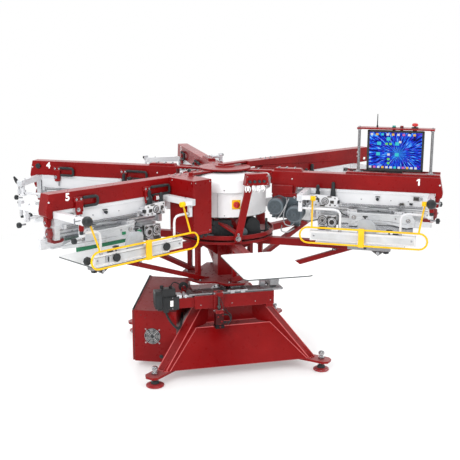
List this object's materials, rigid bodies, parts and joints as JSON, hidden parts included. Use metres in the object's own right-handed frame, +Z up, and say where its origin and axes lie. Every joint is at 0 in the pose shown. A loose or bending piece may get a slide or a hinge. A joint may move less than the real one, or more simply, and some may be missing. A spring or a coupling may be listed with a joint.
{
  "type": "screen printing carousel",
  "caption": "Automatic screen printing carousel: indexing pallets under radial print heads with squeegee carriages, safety hoops, operator display, pyramid base and control cabinet.",
  "frame": {"origin": "on the floor, on the axis of the centre column", "axes": "+Z up; the loading gap, where there is a pallet and no print head, faces -Y; +X to the right of someone standing at the gap and looking at the column"},
  "size_m": [2.7575, 2.668, 1.636],
  "materials": {
    "red_paint": "gloss enamel",
    "white_paint": "satin enamel",
    "aluminium": "machined",
    "bright_steel": "ground",
    "chrome": "polished plate",
    "black_plastic": "moulded",
    "yellow_paint": "gloss enamel",
    "blue_grey_paint": "cast, satin enamel",
    "pallet_white": "laminated board",
    "green_cap": "button cap",
    "red_cap": "moulded cap"
  },
  "bodies": {
    "machine": {"base_frame": "red_paint", "levelling_foot_1": "chrome", "levelling_foot_2": "chrome", "levelling_foot_3": "chrome", "levelling_foot_4": "chrome", "control_cabinet": "red_paint", "centre_column": "bright_steel", "index_beam": "red_paint", "index_servo": "black_plastic", "lock_cylinder": "red_paint", "service_tray": "red_paint", "control_drum": "white_paint", "head_hub": "red_paint", "head_arm_1": "red_paint", "head_arm_2": "red_paint", "head_arm_3": "red_paint", "head_arm_4": "red_paint", "head_arm_5": "red_paint", "head_beam_1": "white_paint", "head_beam_2": "white_paint", "head_beam_3": "white_paint", "head_beam_4": "white_paint", "head_beam_5": "white_paint", "valve_pillar": "red_paint", "junction_box": "red_paint", "stroke_motors": "blue_grey_paint", "monitor_stand": "red_paint", "monitor": "black_plastic"},
    "cabinet_door": {"cabinet_door": "red_paint"},
    "index_carriage": {"index_carriage": "bright_steel"},
    "lock_pin": {"lock_pin": "chrome"},
    "lift_sleeve": {"lift_sleeve": "bright_steel"},
    "carousel": {"carousel_frame": "red_paint", "pallet_1": "pallet_white", "pallet_2": "pallet_white", "pallet_3": "pallet_white", "pallet_4": "pallet_white", "pallet_5": "pallet_white", "pallet_6": "pallet_white"},
    "print_carriage_1": {"print_carriage_1": "aluminium"},
    "squeegee_1": {"squeegee_1": "aluminium"},
    "flood_bar_1": {"flood_bar_1": "bright_steel"},
    "print_carriage_2": {"print_carriage_2": "aluminium"},
    "squeegee_2": {"squeegee_2": "aluminium"},
    "flood_bar_2": {"flood_bar_2": "bright_steel"},
    "print_carriage_3": {"print_carriage_3": "aluminium"},
    "squeegee_3": {"squeegee_3": "aluminium"},
    "flood_bar_3": {"flood_bar_3": "bright_steel"},
    "print_carriage_4": {"print_carriage_4": "aluminium"},
    "squeegee_4": {"squeegee_4": "aluminium"},
    "flood_bar_4": {"flood_bar_4": "bright_steel"},
    "print_carriage_5": {"print_carriage_5": "aluminium"},
    "squeegee_5": {"squeegee_5": "aluminium"},
    "flood_bar_5": {"flood_bar_5": "bright_steel"},
    "safety_hoop_1": {"safety_hoop_1": "yellow_paint"},
    "safety_hoop_5": {"safety_hoop_5": "yellow_paint"},
    "main_switch": {"main_switch": "red_cap"},
    "start_button": {"start_button": "green_cap"},
    "stop_button": {"stop_button": "red_cap"},
    "estop_button": {"estop_button": "red_cap"}
  },
  "joints": [
    {"name": "cabinet_door_hinge", "type": "hinge", "parent": "machine", "child": "cabinet_door", "pos_m": [-0.49453, 0.23658, 0.25], "axis": [0, 0, -1], "range_deg": [0, 100]},
    {"name": "index_slide", "type": "slide", "parent": "machine", "child": "index_carriage", "axis": [1, 0, 0], "range_m": [-0.2, 0.2]},
    {"name": "lock_pin_stroke", "type": "slide", "parent": "machine", "child": "lock_pin", "axis": [0, 0, 1], "range_m": [0, 0.02]},
    {"name": "table_lift", "type": "slide", "parent": "machine", "child": "lift_sleeve", "axis": [0, 0, 1], "range_m": [0, 0.012]},
    {"name": "carousel_spin", "type": "hinge", "parent": "lift_sleeve", "child": "carousel", "pos_m": [0, 0, 0.7], "axis": [0, 0, 1], "continuous": true},
    {"name": "print_stroke_1", "type": "slide", "parent": "machine", "child": "print_carriage_1", "axis": [0.5, 0.866, 0], "range_m": [-0.14, 0.14]},
    {"name": "squeegee_dip_1", "type": "slide", "parent": "print_carriage_1", "child": "squeegee_1", "axis": [0, 0, 1], "range_m": [-0.035, 0]},
    {"name": "flood_dip_1", "type": "slide", "parent": "print_carriage_1", "child": "flood_bar_1", "axis": [0, 0, 1], "range_m": [-0.035, 0]},
    {"name": "print_stroke_2", "type": "slide", "parent": "machine", "child": "print_carriage_2", "axis": [-0.5, 0.866, 0], "range_m": [-0.14, 0.14]},
    {"name": "squeegee_dip_2", "type": "slide", "parent": "print_carriage_2", "child": "squeegee_2", "axis": [0, 0, 1], "range_m": [-0.035, 0]},
    {"name": "flood_dip_2", "type": "slide", "parent": "print_carriage_2", "child": "flood_bar_2", "axis": [0, 0, 1], "range_m": [-0.035, 0]},
    {"name": "print_stroke_3", "type": "slide", "parent": "machine", "child": "print_carriage_3", "axis": [-1, 0, 0], "range_m": [-0.14, 0.14]},
    {"name": "squeegee_dip_3", "type": "slide", "parent": "print_carriage_3", "child": "squeegee_3", "axis": [0, 0, 1], "range_m": [-0.035, 0]},
    {"name": "flood_dip_3", "type": "slide", "parent": "print_carriage_3", "child": "flood_bar_3", "axis": [0, 0, 1], "range_m": [-0.035, 0]},
    {"name": "print_stroke_4", "type": "slide", "parent": "machine", "child": "print_carriage_4", "axis": [-0.5, -0.866, 0], "range_m": [-0.14, 0.14]},
    {"name": "squeegee_dip_4", "type": "slide", "parent": "print_carriage_4", "child": "squeegee_4", "axis": [0, 0, 1], "range_m": [-0.035, 0]},
    {"name": "flood_dip_4", "type": "slide", "parent": "print_carriage_4", "child": "flood_bar_4", "axis": [0, 0, 1], "range_m": [-0.035, 0]},
    {"name": "print_stroke_5", "type": "slide", "parent": "machine", "child": "print_carriage_5", "axis": [0.5, -0.866, 0], "range_m": [-0.14, 0.14]},
    {"name": "squeegee_dip_5", "type": "slide", "parent": "print_carriage_5", "child": "squeegee_5", "axis": [0, 0, 1], "range_m": [-0.035, 0]},
    {"name": "flood_dip_5", "type": "slide", "parent": "print_carriage_5", "child": "flood_bar_5", "axis": [0, 0, 1], "range_m": [-0.035, 0]},
    {"name": "hoop_swing_1", "type": "hinge", "parent": "machine", "child": "safety_hoop_1", "pos_m": [0.66772, -0.74347, 1.18], "axis": [-0.866, 0.5, 0], "range_deg": [0, 25]},
    {"name": "hoop_swing_5", "type": "hinge", "parent": "machine", "child": "safety_hoop_5", "pos_m": [-0.66772, -0.74347, 1.18], "axis": [-0.866, -0.5, 0], "range_deg": [0, 25]},
    {"name": "main_switch_turn", "type": "hinge", "parent": "machine", "child": "main_switch", "pos_m": [0.004, -0.2855, 1.1], "axis": [0, -1, 0], "range_deg": [0, 90]},
    {"name": "start_press", "type": "slide", "parent": "machine", "child": "start_button", "axis": [0, 0, -1], "range_m": [0, 0.004]},
    {"name": "stop_press", "type": "slide", "parent": "machine", "child": "stop_button", "axis": [0, 0, -1], "range_m": [0, 0.004]},
    {"name": "estop_press", "type": "slide", "parent": "machine", "child": "estop_button", "axis": [0, 0, -1], "range_m": [0, 0.006]}
  ]
}
